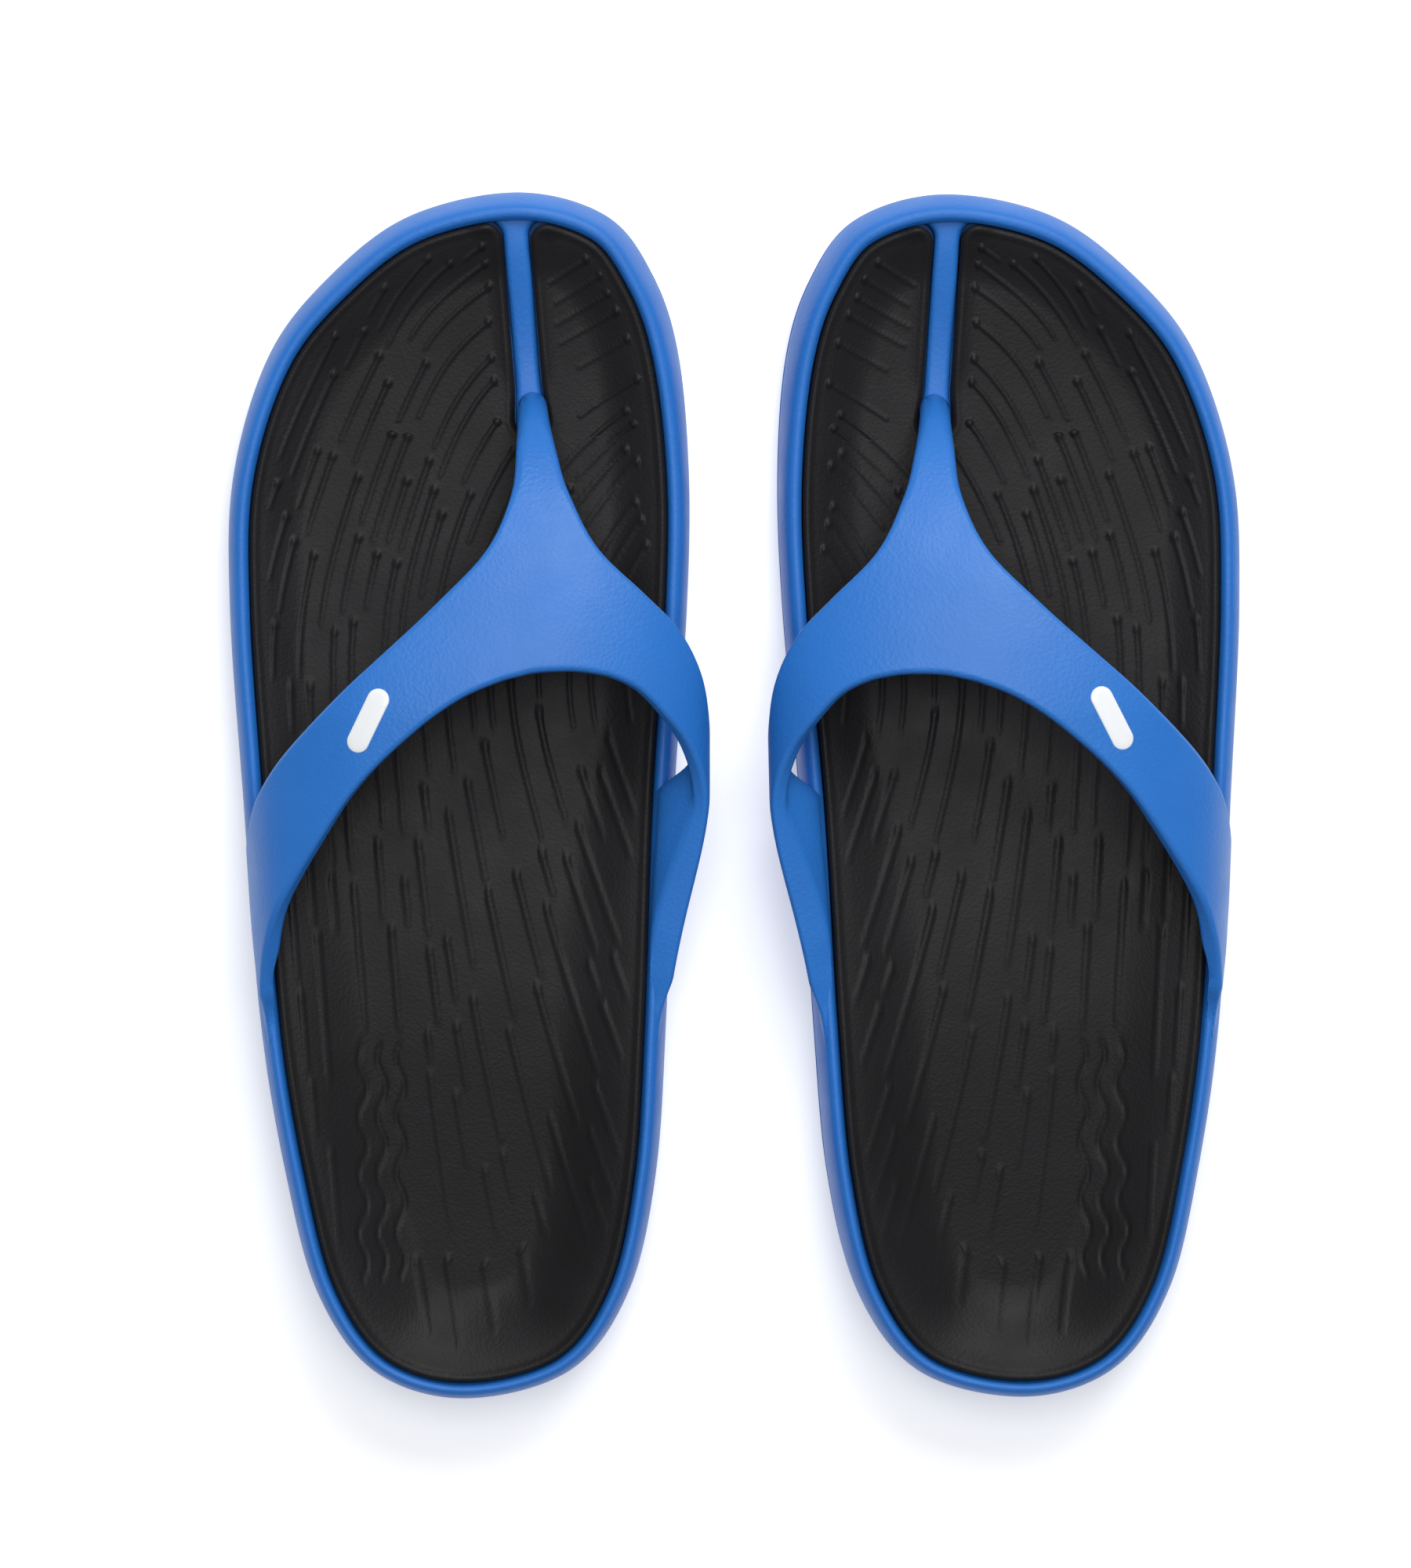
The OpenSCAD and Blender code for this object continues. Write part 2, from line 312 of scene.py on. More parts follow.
# Name, colour, share it varies by, roughness, grain size and depth in metres, specular level.
FINISHES = {
    "shell": ("blue_shell_foam", (0.018, 0.155, 0.54), 0.05, 0.47, 0.0011, 0.00005, 0.35),
    "strap": ("blue_strap_rubber", (0.020, 0.165, 0.56), 0.04, 0.42, 0.0009, 0.00006, 0.36),
    "outsole": ("blue_outsole_rubber", (0.015, 0.12, 0.44), 0.06, 0.55, 0.0014, 0.00006, 0.4),
    "footbed": ("black_footbed_foam", (0.0106, 0.0102, 0.0113), 0.16, 0.46, 0.0008, 0.00005, 0.16),
    "badge": ("white_badge", (0.86, 0.88, 0.90), 0.02, 0.35, 0.0006, 0.00001, 0.5),
}
MATERIALS = {part: foam_material(*finish) for part, finish in FINISHES.items()}

# ---------------------------------------------------------------- outsole

GROOVE_DEPTH = 1.7
GROOVE_PITCH = 8.5
GROOVE_HALF_W = 1.9
GROOVE_SIDE = 0.8
TREAD_WAVE = 3.2
TREAD_WAVE_LENGTH = 27
TREAD_BORDER = 5.5
TREAD_EDGE = 0.9


def side_paths(curve):
    """The outer and the inner side of a closed curve, each from the heel tip to the toe tip."""
    low, high = curve[:, 1].argmin(), curve[:, 1].argmax()
    loop = np.roll(curve, -low, axis=0)
    turn = (high - low) % len(curve)
    outer = loop[:turn + 1]
    inner = np.vstack([loop[turn:], loop[:1]])[::-1]
    return outer, inner


def x_on(path, y):
    """Where a side path is in x at y."""
    return np.interp(y, np.maximum.accumulate(path[:, 1]), path[:, 0])


def tip_rows(low, high, count):
    """Row places that crowd towards both ends."""
    return low + (high - low) * (1 - np.cos(np.linspace(0, math.pi, count))) / 2


def soft_columns(count):
    """Shares from 0 to 1 that crowd a little towards both ends."""
    t = np.linspace(0, 1, count)
    return 0.5 * t + 0.5 * (1 - np.cos(t * math.pi)) / 2


def outsole_solid():
    """The tread layer, with wavy grooves inside a plain border."""
    outer, inner = side_paths(OUTLINE)
    rows, columns = 330, 110
    ys = tip_rows(OUTLINE[:, 1].min(), OUTLINE[:, 1].max(), rows)
    left, right = x_on(outer, ys), x_on(inner, ys)
    share = soft_columns(columns)
    xs = left[:, None] + (right - left)[:, None] * share
    flat = np.column_stack([xs.ravel(), np.repeat(ys, columns)])
    border = distance_to(flat, closed(OUTLINE))
    wave = flat[:, 1] + TREAD_WAVE * np.sin(flat[:, 0] * 2 * math.pi / TREAD_WAVE_LENGTH)
    across = np.abs((wave / GROOVE_PITCH) % 1 - 0.5) * GROOVE_PITCH
    cut = smoothstep((GROOVE_HALF_W - across) / GROOVE_SIDE) * smoothstep((border - TREAD_BORDER) / 1.0)
    rounded = TREAD_EDGE * (1 - np.minimum(border / TREAD_EDGE, 1)) ** 2
    low = ground(flat[:, 1]) + GROOVE_DEPTH * cut + rounded
    bottom = np.column_stack([flat, low])
    top = np.array([(x, y, ground(y) + OUTSOLE_T) for y, l, r in zip(ys, left, right) for x in (l, r)])
    faces = sheet_faces(0, rows, columns)
    first = len(bottom)
    for r in range(rows - 1):
        faces.append((first + 2 * r, first + 2 * r + 1, first + 2 * r + 3, first + 2 * r + 2))
        faces.append((r * columns, (r + 1) * columns, first + 2 * r + 2, first + 2 * r))
        faces.append(((r + 1) * columns - 1, (r + 2) * columns - 1, first + 2 * r + 3, first + 2 * r + 1))
    return np.vstack([bottom, top]), faces


# ---------------------------------------------------------------- shell and toe bar

# Wall section from the outsole up, over the rim and down to the recess floor: (inset, share of height).
WALL = [(0.5, 0.0), (0.15, 0.07), (0.0, 0.2), (0.05, 0.4), (0.3, 0.6), (0.75, 0.76), (1.4, 0.88),
        (2.2, 0.96), (3.0, 0.995), (3.7, 1.0), (4.3, 0.985), (4.8, 0.94), (RIM_W, 0.87), (RIM_W, 0.7)]
RECESS_DEPTH = 9


def shell_solid():
    section = spline(WALL, np.linspace(0, len(WALL) - 1, 40))
    rings = []
    for distance, share in section:
        d = distance + toe_lean(OUTLINE[:, 1]) * smoothstep(share / 0.9)
        p = OUTLINE - NORMAL * d[:, None]
        low = ground(p[:, 1]) + OUTSOLE_T
        rings.append(np.column_stack([p, low + (rim_z(p[:, 1]) - low) * share]))
    p = rings[-1][:, :2]
    rings.append(np.column_stack([p, rim_z(p[:, 1]) - RECESS_DEPTH]))
    faces = loop_faces(len(rings), RING_POINTS)
    faces += ladder(0, RING_POINTS) + ladder((len(rings) - 1) * RING_POINTS, RING_POINTS)
    return np.vstack(rings), faces


POST_FOOT_Y = 92.2
FOOT_EXTRA = 0.7
BAR_HALF_W = 2.95
BAR_REAR = POST_FOOT_Y - 6
BAR_FRONT = 138.5
BAR_FILLET = 4.2
FILLET_END = 136.4
BAR_LOW = 12.6
BAR_EDGE = 1.3


def bar_x(y):
    return 13.4 + 0.08 * (136 - np.asarray(y, float))


def foot_extra(y):
    """How much wider each side of the bar is at the foot of the post."""
    return FOOT_EXTRA * smoothstep((POST_FOOT_Y + 6 - y) / 10)


def bar_half(y):
    """Half of the bar's width, with a foot at the post and fillets at the rim."""
    into = np.clip(y - (FILLET_END - BAR_FILLET), 0, BAR_FILLET)
    return BAR_HALF_W + foot_extra(y) + BAR_FILLET - np.sqrt(BAR_FILLET ** 2 - into ** 2)


def bar_top(y):
    return BAR_LOW + (bed_z(y) + 1.2 - BAR_LOW) * smoothstep((y - 98) / 34)


def bar_solid():
    rows, columns = 70, 21
    ys = np.linspace(BAR_REAR, BAR_FRONT, rows)
    across = np.sin(np.linspace(-math.pi / 2, math.pi / 2, columns))
    points = []
    for y, half in zip(ys, bar_half(ys)):
        drop = np.clip((np.abs(across) * half - (half - BAR_EDGE)) / BAR_EDGE, 0, 1)
        z = bar_top(y) - BAR_EDGE * (1 - np.sqrt(1 - drop ** 2)) - 0.25 * across ** 2
        points += [(bar_x(y) + a * half, y, h) for a, h in zip(across, z)]
        points += [(bar_x(y) + way * half, y, rim_z(y) - RECESS_DEPTH - 2) for way in (1, -1)]
    count = columns + 2
    return np.array(points), loop_faces(rows, count) + end_caps(rows, count)


# ---------------------------------------------------------------- footbed

BED_INSET = RIM_W + 0.25
SLOT_GAP = 0.3
SLOT_REAR = BAR_REAR - 0.6
LOBE_CORNER = 3.9
BED_CORNER = 1.3
# A fine ridge runs inside the edge.
RIDGE_H = 0.12
RIDGE_IN = 1.5
RIDGE_HALF_W = 0.6
# Each rib ends in a small bead towards the toes.
BEAD_R = 0.95
BEAD_RISE = 1.5
WAVE_DEPTH = 0.36
WAVE_HALF_W = 0.5


def slot_half(y):
    """Half of the toe slot's width: a round rear end, then even."""
    wide = BAR_HALF_W + foot_extra(y) + SLOT_GAP
    end = np.clip(1 - (y - SLOT_REAR) / wide, 0, 1)
    return np.where(y <= SLOT_REAR, 0, wide * np.sqrt(1 - end ** 2))


def lobe(path, way, count):
    """Rows of one toe lobe as y, its outer x and its slot x.

    Its corner at the slot is an arc that meets the edge.
    """
    dense = path[path[:, 1] > 100]
    wide = BAR_HALF_W + SLOT_GAP
    low, high = 120.0, HALF_L
    for _ in range(40):
        y = (low + high) / 2
        centre = np.array([[bar_x(y) + way * (wide + LOBE_CORNER), y]])
        if distance_to(centre, dense)[0] > LOBE_CORNER:
            low = y
        else:
            high = y
    cx, cy = centre[0]
    touch = dense[np.linalg.norm(dense - centre, axis=1).argmin()]
    ys = tip_rows(SLOT_REAR, cy + LOBE_CORNER, count)
    arc = np.sqrt(np.maximum(LOBE_CORNER ** 2 - (ys - cy) ** 2, 0))
    edge = np.where(ys > touch[1], cx + way * arc, x_on(path, ys))
    slot = np.where(ys > cy, cx - way * arc, bar_x(ys) + way * slot_half(ys))
    return ys, edge, slot


def lean(x, y):
    """Slope of the flow lines, as x gained for each y towards the toes."""
    rear = -0.08 - 0.28 * np.clip((x + 15) / 50, 0, 1)
    even = np.interp(y, [30, 45, 60, 80, 100], [0.05, 0.15, 0.28, 0.37, 0.5])
    extra = np.interp(y, [40, 50, 62, 76, 87, 97, 110, 125], [0.2, 0.3, 0.35, 0.5, 0.8, 1.2, 1.3, 1.1])
    edge = -10 - 18 * smoothstep((y - 92) / 35)
    front = even + extra * smoothstep((x - edge) / 45)
    share = smoothstep((y - 2) / 50)
    return rear * (1 - share) + front * share


WAVE_X = -18.5
WAVE_Y = (-113.0, -58.0)
WAVE_OFFSETS = (-4.4, 0.0, 4.4)


def in_motif(x, y):
    return abs(x - WAVE_X) < 9.5 and WAVE_Y[0] - 3 < y < WAVE_Y[1] + 4


def flow_ribs(room):
    """Staggered ribs along the flow lines, as (path from heel to toe, half width, height).

    room(x, y) is the distance to the nearest edge of the footbed.
    """
    draw = np.random.default_rng(11)
    end_gap, step = 3.1, 1.0
    seeds = [
        (x + draw.uniform(-1.5, 1.5), y + draw.uniform(-5, 5))
        for y in np.arange(131, -100, -8.0)
        for x in np.arange(-50, 52, 3.1)
    ]
    draw.shuffle(seeds)
    ribs, taken = [], np.empty((0, 2))

    def free(p, way):
        if room(*p) < 4.2 or in_motif(*p):
            return False
        side_gap = 4.3 - 0.9 * smoothstep((p[1] - 10) / 40)
        gaps = taken - p
        along = gaps @ way
        across2 = (gaps ** 2).sum(1) - along ** 2
        return not (across2 / side_gap ** 2 + along ** 2 / end_gap ** 2 < 1).any()

    def heading(p):
        slope = lean(*p)
        return np.array([slope, 1.0]) / math.hypot(slope, 1.0)

    for seed in seeds:
        limit = draw.uniform(15, 40)
        if not free(np.array(seed), heading(seed)):
            continue
        ends = []
        for sign in (1, -1):
            p, path = np.array(seed), []
            while len(path) * step < limit / 2:
                p = p + sign * step * heading(p)
                if not free(p, heading(p)) or p[1] < -104:
                    break
                path.append(p)
            ends.append(path)
        path = np.array(ends[1][::-1] + [np.array(seed)] + ends[0])
        if len(path) < 6:
            continue
        taken = np.vstack([taken, path])
        height = 0.25 + 0.21 * smoothstep((path[:, 1].mean() + 95) / 60)
        half = 0.6 + 0.3 * smoothstep((30 - path[:, 1].mean()) / 50)
        ribs.append((path, half, height))
    for x, y, length in ((-9, -118, 16), (-1.5, -119, 19), (7, -118, 15), (15.5, -113, 12)):
        path = np.array([(x - 0.16 * s, y + s) for s in np.linspace(-length / 2, length / 2, 16)])
        ribs.append((path, 1.05, 0.36))
    return ribs


def motif_grooves():
    """Three plain parallel waves sunk into the outer side of the heel."""
    ys = np.linspace(*WAVE_Y, 90)
    return [
        np.column_stack([WAVE_X + offset + 1.1 * np.sin((ys - WAVE_Y[0]) * 2 * math.pi / 13.75), ys])
        for offset in WAVE_OFFSETS
    ]


def near_path(flat, path, reach):
    """The points inside a path's box, grown by reach."""
    low, high = path.min(0) - reach, path.max(0) + reach
    return np.flatnonzero((flat > low).all(1) & (flat < high).all(1))


def footbed_solid():
    """The black insert: two halves that meet behind the slot, with the edge raised to the rim."""
    edge = inset(BED_INSET)
    outer, inner = side_paths(edge)
    heel_rows, lobe_rows, wide_columns, narrow_columns = 220, 140, 162, 98
    low_y = edge[:, 1].min()
    fine_y = np.linspace(low_y, SLOT_REAR, 4000)
    dense = 1 + 2 * np.exp((low_y - fine_y) / 8) + 0.9 * smoothstep((fine_y - 30) / 20)
    run = np.cumsum(dense)
    ys = np.interp(np.linspace(run[0], run[-1], heel_rows), run, fine_y)
    mid_x = float(bar_x(SLOT_REAR))
    halves = []
    for path, way, columns in ((outer, -1, wide_columns), (inner, 1, narrow_columns)):
        heel_edge = x_on(path, ys)
        blend = smoothstep((ys - ys[0]) / 40)
        heel_mid = (x_on(outer, ys) + x_on(inner, ys)) / 2 * (1 - blend) + mid_x * blend
        lobe_y, lobe_edge, lobe_slot = lobe(path, way, lobe_rows)
        halves.append((
            np.concatenate([ys, lobe_y[1:]]),
            np.concatenate([heel_edge, lobe_edge[1:]]),
            np.concatenate([heel_mid, lobe_slot[1:]]),
            columns,
        ))
    slot_paths = [np.column_stack([h[2], h[0]])[heel_rows - 1:] for h in halves]
    lobe_tips = [np.column_stack([h[1], h[0]])[h[0] > 125] for h in halves]
    closed_edge = closed(edge)

    grid_y = np.arange(-150, 150.1, 1.0)
    grid_x = np.arange(-60, 60.1, 1.0)
    gx, gy = np.meshgrid(grid_x, grid_y)
    cells = np.column_stack([gx.ravel(), gy.ravel()])
    inside = (cells[:, 0] > x_on(outer, cells[:, 1])) & (cells[:, 0] < x_on(inner, cells[:, 1]))
    inside &= (cells[:, 1] > edge[:, 1].min()) & (cells[:, 1] < edge[:, 1].max())
    room_map = distance_to(cells, closed_edge) * np.where(inside, 1, -1)
    for path in slot_paths:
        room_map = np.minimum(room_map, distance_to(cells, path))
    near_bar = (np.abs(cells[:, 0] - bar_x(cells[:, 1])) < 4) & (cells[:, 1] > SLOT_REAR)
    room_map = np.where(near_bar, -1, room_map).reshape(gx.shape)

    def room(x, y):
        return room_map[int(round(y + 150)), int(round(x + 60))] if abs(x) < 60 and abs(y) < 150 else -1

    ribs, grooves = flow_ribs(room), motif_grooves()

    def surface(flat):
        x, y = flat.T
        e_out = distance_to(flat, closed_edge)
        e_slot = np.minimum(*[distance_to(flat, p) for p in slot_paths])
        e_tip = np.minimum(*[distance_to(flat, p) for p in lobe_tips])
        wide = 14 + 8 * smoothstep((20 - y) / 60)
        rise = (1 - smoothstep(e_out / wide)) * (1 - 0.1 * smoothstep(e_out / 3))
        z = bed_z(y) + (lip_z(y) - bed_z(y)) * rise
        near = np.minimum(np.minimum(e_out, e_slot), e_tip)
        z -= BED_CORNER - np.sqrt(BED_CORNER ** 2 - (BED_CORNER - np.minimum(near, BED_CORNER)) ** 2)
        z += RIDGE_H * np.exp(-((near - RIDGE_IN) / RIDGE_HALF_W) ** 2)
        z += 0.7 * smoothstep((5 - e_slot) / 5) * smoothstep((y - 96) / 10)
        extra = np.zeros(len(flat))
        for path, half, height in ribs:
            pick = near_path(flat, path, half + 0.4)
            if len(pick):
                d = distance_to(flat[pick], path) / half
                toward = np.clip((flat[pick, 1] - path[0, 1]) / (path[-1, 1] - path[0, 1]), 0, 1)
                crest = height * (0.45 + 0.45 * toward) * np.sqrt(np.clip(1 - d ** 2, 0, 1))
                bead = np.linalg.norm(flat[pick] - path[-1], axis=1) / BEAD_R
                tip = BEAD_RISE * height * np.sqrt(np.clip(1 - bead ** 2, 0, 1))
                crest *= smoothstep((1.15 - d) / 0.4)
                extra[pick] = np.maximum(extra[pick], np.maximum(crest, tip))
        for path in grooves:
            pick = near_path(flat, path, 2)
            extra[pick] -= WAVE_DEPTH * smoothstep(1.4 - distance_to(flat[pick], path) / WAVE_HALF_W)
        return z + extra

    points, faces = [], []
    total = 0
    for ys_h, x_edge, x_mid, columns in halves:
        rows = len(ys_h)
        share = soft_columns(columns)
        xs = x_edge[:, None] + (x_mid - x_edge)[:, None] * share
        flat = np.column_stack([xs.ravel(), np.repeat(ys_h, columns)])
        top = np.column_stack([flat, surface(flat)])
        floor = rim_z(ys_h) - RECESS_DEPTH + 0.15
        low_edge = np.column_stack([x_edge, ys_h, floor])
        low_mid = np.column_stack([x_mid, ys_h, floor])
        points += [top, low_edge, low_mid]
        faces += sheet_faces(total, rows, columns)
        e0, m0 = total + len(top), total + len(top) + rows
        for r in range(rows - 1):
            faces.append((e0 + r, e0 + r + 1, m0 + r + 1, m0 + r))
            faces.append((total + r * columns, total + (r + 1) * columns, e0 + r + 1, e0 + r))
            if r >= heel_rows - 1:
                last = total + (r + 1) * columns - 1
                faces.append((last, last + columns, m0 + r + 1, m0 + r))
        total = m0 + rows
    return np.vstack(points), faces


# ---------------------------------------------------------------- strap

# The strap is an arch across the foot, swept along it: ARCH is its outer face as (x, z), from the
# outer arm to the inner arm, and a place along the arch is counted in these points.
ARCH_FOOT = 15
CROWN = 53
ARCH = [(-50.5, 15), (-50.8, 26), (-44.5, 38.5), (-28.5, 48), (-8, 52.2), (14, 53),
        (34, 50.5), (50, 44), (58.8, 34), (56, 24), (50.5, 15)]
# The strap's front and rear edge as (place along the arch, y), from the outer arm to the inner arm.
FRONT_EDGE = [
    (0, -16), (0.4, -13), (0.9, -9.5), (1.75, 3), (2.4, 14), (3, 25), (3.6, 36), (4.2, 48), (4.7, 60),
    (4.95, 73), (5, 86), (5.03, 104), (5.14, 105), (5.25, 104), (5.42, 86), (5.6, 73),
    (5.95, 60), (6.6, 49), (7.2, 40.5), (7.75, 30), (8.2, 19), (8.6, 10), (9.1, 4), (9.6, 0.5), (10, -3),
]
REAR_EDGE = [
    (0, -78), (0.75, -70), (0.95, -60), (1.15, -50), (1.6, -36), (2.5, -15), (3.3, 5), (3.9, 17), (4.4, 25),
    (4.8, 29), (5.05, 30.5), (5.2, 31.2), (5.35, 31.5), (5.5, 31.6), (5.65, 31.6), (5.85, 31.2),
    (6.15, 30), (6.5, 27), (6.9, 21), (7.4, 13), (7.9, 1), (8.4, -20), (8.75, -42), (9.0, -60), (10, -74),
]
# The strap slopes down to the post from SLOPE_FROM, and at POST_Y it turns down into the footbed.
POST_Y = 96
POST_TOP = 14
SLOPE_FROM = 20
STRAP_T = 4.0
POST_EXTRA_T = 3.4
OUTER_ROOT_T = 1.2
INNER_ROOT_T = 6.0
# The root of the inner arm falls away towards the footbed by this much.
ROOT_SLOPE = 5.5
STRAP_EDGE = 1.25
POST_EDGE_EXTRA = 2.0
# Width of the sole behind the middle, as a share of its width there, on the outer and the inner side.
NARROW_Y = [-90, -76, -53, -25, 0]
NARROW_OUTER = [0.806, 0.862, 0.922, 0.962, 0.99]
NARROW_INNER = [0.903, 0.924, 0.951, 0.976, 1.0]
SOLE_HALF_W = 51.5


def flare(y):
    """How much of its outward lean the inner arm keeps, which fades into the wall towards the heel."""
    return smoothstep((y + 64) / 68)


def strap_outer(q, y):
    """A point on the strap's outer face: q runs over the arch from the outer to the inner arm."""
    x, z = spline(ARCH, q).T
    along = np.minimum(y, POST_Y - 1e-4)
    fall = np.clip((along - SLOPE_FROM) / (POST_Y - SLOPE_FROM), 0, 1) ** 1.5
    crown = POST_TOP + (CROWN - POST_TOP) * np.sqrt(np.maximum(1 - fall, 0))
    share = (crown - ARCH_FOOT) / (CROWN - ARCH_FOOT)
    narrow = np.interp(y, NARROW_Y, NARROW_OUTER)
    narrow += (np.interp(y, NARROW_Y, NARROW_INNER) - narrow) * smoothstep((q - 3) / 4)
    x = x * narrow - np.maximum(x - SOLE_HALF_W, 0) * (1 - flare(y))
    drop = np.maximum(y - POST_Y, 0)
    return np.column_stack([x, np.minimum(y, POST_Y), ARCH_FOOT + (z - ARCH_FOOT) * share - drop])


def strap_normal(q, y):
    """The outward normal of the outer face, from small steps along it."""
    dq, dy = 0.04, 0.6
    a = strap_outer(q + dq, y) - strap_outer(q - dq, y)
    b = strap_outer(q, y + dy) - strap_outer(q, y - dy)
    n = np.cross(a, b)
    return n / np.linalg.norm(n, axis=1)[:, None]


def root_share(q, y):
    """1 over the root of the inner arm, fading out before it leaves the wall."""
    return smoothstep(q - 7.9) * (0.35 + 0.65 * flare(y)) * (1 - smoothstep(y / 11))


def strap_thickness(q, y):
    """Thickest at the post and at the roots of the arms."""
    roots = OUTER_ROOT_T * smoothstep((2.4 - q) / 1.8) + INNER_ROOT_T * root_share(q, y)
    return STRAP_T + roots + POST_EXTRA_T * smoothstep((y - 80) / 14)


# How the arms merge with the wall: the band over which they rise out of it, how far they stay under
# its skin elsewhere, how much of their depth is kept there, and how far in from the outline they reach.
MELT = 2.0
UNDER_SKIN = 0.06
KEPT_DEPTH = 0.3
ARM_REACH = 4.9
SECTION = spline(WALL, np.linspace(0, len(WALL) - 1, 53))


def melt(points):
    """Draws points near the shell's skin together with it, so that the arms grow out of the wall."""
    out = points.copy()
    pick = np.flatnonzero((points[:, 2] < 36) & (points[:, 1] < 30))
    p = points[pick]
    gap, foot = nearest_on(p[:, :2], closed(OUTLINE))
    outer, inner = side_paths(OUTLINE)
    inside = (p[:, 0] > x_on(outer, p[:, 1])) & (p[:, 0] < x_on(inner, p[:, 1]))
    inward = np.where(inside, 1, -1)[:, None] * (p[:, :2] - foot) / np.maximum(gap, 1e-9)[:, None]
    depth = np.where(inside, gap, -gap)
    low = ground(p[:, 1]) + OUTSOLE_T
    high = rim_z(p[:, 1])
    here = np.column_stack([depth, p[:, 2]])
    best = np.full(len(p), 1e9)
    away = np.zeros((len(p), 2))
    signed = np.zeros(len(p))
    for (d0, s0), (d1, s1) in zip(SECTION[:-1], SECTION[1:]):
        a = np.column_stack([np.full(len(p), d0), low + (high - low) * s0])
        b = np.column_stack([np.full(len(p), d1), low + (high - low) * s1])
        run = b - a
        t = np.clip(((here - a) * run).sum(1) / np.maximum((run ** 2).sum(1), 1e-12), 0, 1)
        gap2 = here - (a + run * t[:, None])
        d = np.linalg.norm(gap2, axis=1)
        face = np.column_stack([-run[:, 1], run[:, 0]])
        face /= np.maximum(np.linalg.norm(run, axis=1), 1e-9)[:, None]
        better = d < best
        best = np.where(better, d, best)
        away[better] = face[better]
        signed[better] = (d * np.sign((gap2 * face).sum(1)))[better]
    # The arms sink deeper low on the wall and towards the heel.
    sink = 0.5 + 2.6 * smoothstep((high - 1.5 - p[:, 2]) / 7.5) + 3.0 * smoothstep((-32 - p[:, 1]) / 34)
    out_of = signed - sink + MELT
    rise = smoothstep(out_of / (2 * MELT + sink))
    new = np.where(out_of < 0, KEPT_DEPTH * out_of, signed * rise) - UNDER_SKIN * (1 - rise)
    move = (new - signed)[:, None]
    over = np.maximum(depth - ARM_REACH, 0) * smoothstep((high + 9 - p[:, 2]) / 5)
    out[pick, :2] += inward * (away[:, :1] * move - over[:, None])
    out[pick, 2] += away[:, 1] * move[:, 0]
    return out


def strap_solid():
    """One closed skin over the outer and inner face of the strap, with rounded edges."""
    rows, columns = 270, 46
    r = np.linspace(0, len(FRONT_EDGE) - 1, rows)
    front, rear = spline(FRONT_EDGE, r), spline(REAR_EDGE, r)
    share = (1 - np.cos(np.linspace(0, math.pi, columns))) / 2
    q = (front[:, :1] + (rear - front)[:, :1] * share).ravel()
    y = (front[:, 1:] + (rear - front)[:, 1:] * share).ravel()
    outer, normal, thick = strap_outer(q, y), strap_normal(q, y), strap_thickness(q, y)
    middle = outer - normal * (thick / 2)[:, None]
    grid = middle.reshape(rows, columns, 3)
    border = np.vstack([grid[:, 0], grid[-1, 1:], grid[-2::-1, -1], grid[0, -2::-1]])
    near = distance_to(middle, border)
    corner = np.minimum(STRAP_EDGE + POST_EDGE_EXTRA * smoothstep((y - 66) / 22), thick / 2)
    reach = corner - np.minimum(near, corner)
    lift = thick / 2 - corner + np.sqrt(np.maximum(corner ** 2 - reach ** 2, 0))
    outside, inside = middle + normal * lift[:, None], middle - normal * lift[:, None]
    inside[:, 2] -= ROOT_SLOPE * root_share(q, y)
    faces = sheet_faces(0, rows, columns)
    faces += [tuple(rows * columns + i for i in face[::-1]) for face in faces]
    rim = [i * columns for i in range(rows)]
    rim += [(rows - 1) * columns + c for c in range(1, columns)]
    rim += [i * columns + columns - 1 for i in range(rows - 2, -1, -1)]
    rim += [c for c in range(columns - 2, 0, -1)]
    shift = rows * columns
    faces += [(a, b, b + shift, a + shift) for a, b in zip(rim, rim[1:] + rim[:1])]
    return melt(np.vstack([outside, inside])), faces


# ---------------------------------------------------------------- badge

BADGE_AT = (3.42, 20.0)
BADGE_WAY = (0.45, 0.89, 0)
BADGE_L = 16.0
BADGE_W = 5.2
# How fast the badge falls off along and across, to follow the arm.
SAG = (0.008, 0.004)
# The badge's rings from its foot to its top, as (inset, height over the arm).
BADGE_RINGS = ((0.0, -0.8), (0.0, 0.22), (0.12, 0.36), (0.4, 0.44), (1.0, 0.46), (1.7, 0.47))


def badge_solid():
    """A plain rounded bar let into the outer arm, following its curve and a little proud of it."""
    q0, y0 = np.array([BADGE_AT[0]]), np.array([BADGE_AT[1]])
    at, up = strap_outer(q0, y0)[0], strap_normal(q0, y0)[0]
    side = np.cross(BADGE_WAY, up)
    side /= np.linalg.norm(side)
    along = np.cross(up, side)
    round_steps, radius = 28, BADGE_W / 2
    straight = (BADGE_L - BADGE_W) / 2
    ring = np.array([
        (way * (straight + math.cos(a) * radius), way * math.sin(a) * radius)
        for way in (1, -1)
        for a in np.linspace(-math.pi / 2, math.pi / 2, round_steps)
    ])
    points, count = [], len(ring)
    for shrink, lift in BADGE_RINGS:
        flat = ring * (1 - 2 * shrink / np.array([BADGE_L, BADGE_W]))
        sag = flat[:, 0] ** 2 * SAG[0] + flat[:, 1] ** 2 * SAG[1]
        for (u, v), s in zip(flat, sag):
            points.append(at + along * u + side * v + up * (lift - s))
    rows = len(BADGE_RINGS)
    return np.array(points), loop_faces(rows, count) + end_caps(rows, count)


# ---------------------------------------------------------------- the pair


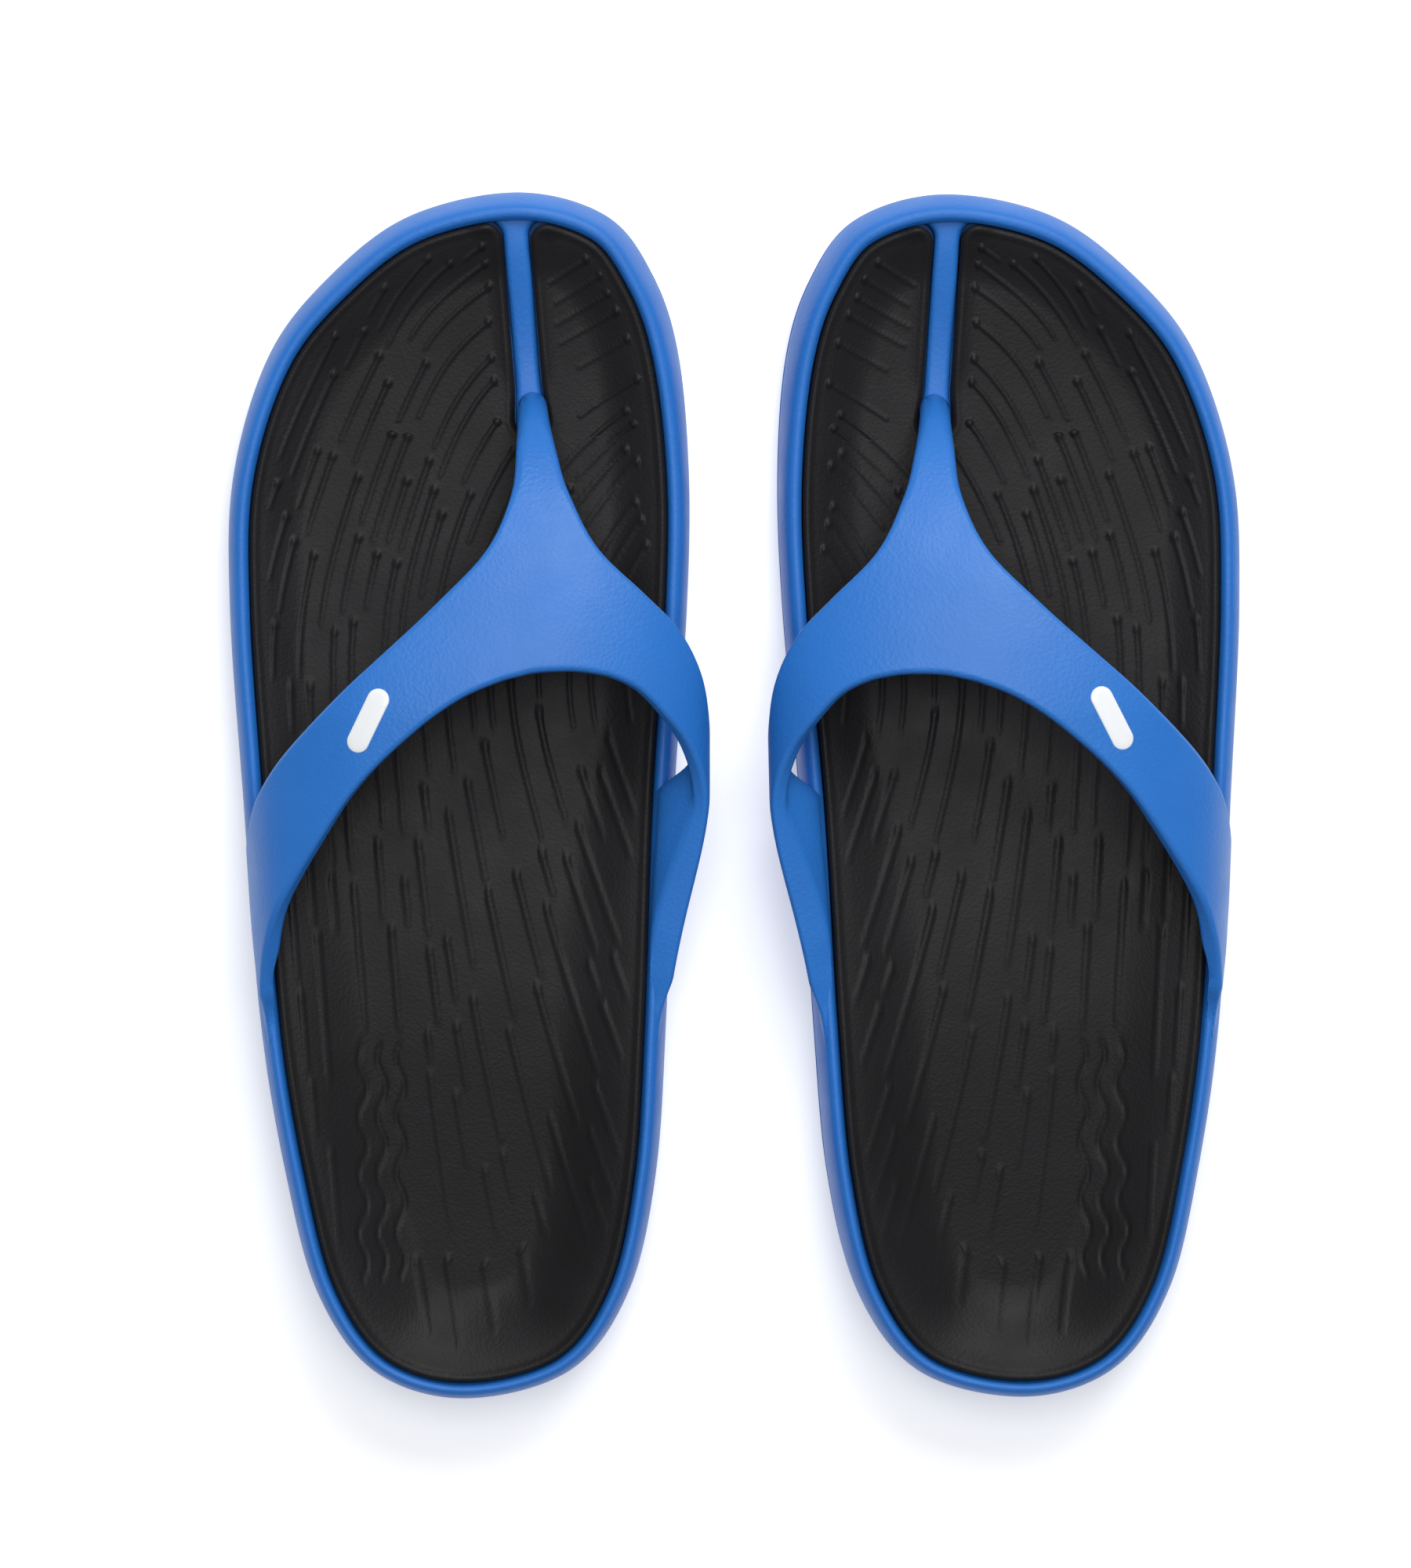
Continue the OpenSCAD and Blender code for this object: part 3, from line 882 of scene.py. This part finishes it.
def unite(piece, extra):
    """One closed mesh of two pieces that overlap."""
    modifier = piece.modifiers.new("unite", "BOOLEAN")
    modifier.operation = "UNION"
    modifier.solver = "MANIFOLD"
    modifier.object = extra
    bpy.context.view_layer.update()
    done = bpy.data.meshes.new_from_object(piece.evaluated_get(bpy.context.evaluated_depsgraph_get()))
    piece.modifiers.clear()
    piece.data = done
    bpy.data.objects.remove(extra)
    for face in done.polygons:
        face.use_smooth = True
    done.set_sharp_from_angle(angle=math.radians(UNITED_SHARP_DEG))


SOLIDS = {
    "outsole": outsole_solid(),
    "shell": shell_solid(),
    "footbed": footbed_solid(),
    "strap": strap_solid(),
    "badge": badge_solid(),
}
BAR = bar_solid()

for side in SIDES:
    heel, toe = side + "_heel", side + "_toe"
    made = {
        part: make_piece(f"{side}_{part}_moulding", side, *solid, MATERIALS[part])
        for part, solid in SOLIDS.items()
    }
    unite(made["shell"], make_piece("bar", side, *BAR, MATERIALS["shell"]))
    for part, piece in made.items():
        if part == "badge":
            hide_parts(f"{side}_badge")
            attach(piece, heel)
        elif part == "strap":
            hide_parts(f"{side}_strap")
            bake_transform(piece)
        else:
            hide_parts(f"{side}_{part}_heel", f"{side}_{part}_toe")
            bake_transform(piece)

# ---------------------------------------------------------------- stage, light and camera


FLOOR_HALF_M = 3.0
FLOOR_GLOW = 0.34


def stage_floor():
    mesh = bpy.data.meshes.new("floor")
    corners = [(x * FLOOR_HALF_M, y * FLOOR_HALF_M, 0) for x, y in ((-1, -1), (1, -1), (1, 1), (-1, 1))]
    mesh.from_pydata(corners, [], [(0, 1, 2, 3)])
    floor = bpy.data.objects.new("floor", mesh)
    bpy.context.scene.collection.objects.link(floor)
    material, tree, shader = new_material("pale_floor")
    shader.inputs["Base Color"].default_value = (0.93, 0.93, 0.93, 1)
    shader.inputs["Roughness"].default_value = 0.8
    shader.inputs["Emission Color"].default_value = (1, 1, 1, 1)
    shader.inputs["Emission Strength"].default_value = FLOOR_GLOW
    mesh.materials.append(material)


def area_light(name, place_m, target_m, size_m, power_w):
    light = bpy.data.lights.new(name, "AREA")
    light.shape = "RECTANGLE"
    light.size, light.size_y = size_m
    light.energy = power_w
    lamp = bpy.data.objects.new(name, light)
    lamp.location = place_m
    lamp.rotation_euler = (Vector(target_m) - Vector(place_m)).to_track_quat("-Z", "Y").to_euler()
    bpy.context.scene.collection.objects.link(lamp)


stage_floor()
area_light("key_softbox", (0.25, 0.95, 1.05), (0, 0.02, 0.02), (0.8, 0.6), 11.5)
area_light("top_softbox", (0, 0.25, 1.6), (0, 0, 0), (0.9, 0.8), 10.5)
world = bpy.data.worlds.new("studio")
world.use_nodes = True
world.node_tree.nodes["Background"].inputs["Color"].default_value = (0.95, 0.97, 1.0, 1)
world.node_tree.nodes["Background"].inputs["Strength"].default_value = 0.28
bpy.context.scene.world = world
bpy.context.scene.view_settings.view_transform = "Standard"

# The camera looks down from above, a little towards the toes and the left sandal. FRAME_HEIGHT is what
# it takes in, in metres at the target.
FRAME_HEIGHT = 0.3702
SENSOR_MM = 24
TARGET = Vector((-0.0078, 0.0036, 0.020))
CAMERA_AT = Vector((-0.030, 0.080, 1.32))
camera = bpy.data.objects.new("camera", bpy.data.cameras.new("camera"))
camera.location = CAMERA_AT
ahead = (TARGET - CAMERA_AT).normalized()
right = ahead.cross(Vector((0, 1, 0))).normalized()
camera.rotation_euler = Matrix((right, right.cross(ahead), -ahead)).transposed().to_euler()
camera.data.sensor_fit = "VERTICAL"
camera.data.sensor_height = SENSOR_MM
camera.data.lens = SENSOR_MM * (CAMERA_AT - TARGET).length / FRAME_HEIGHT
camera.data.clip_start = 0.01
bpy.context.scene.collection.objects.link(camera)
bpy.context.scene.camera = camera
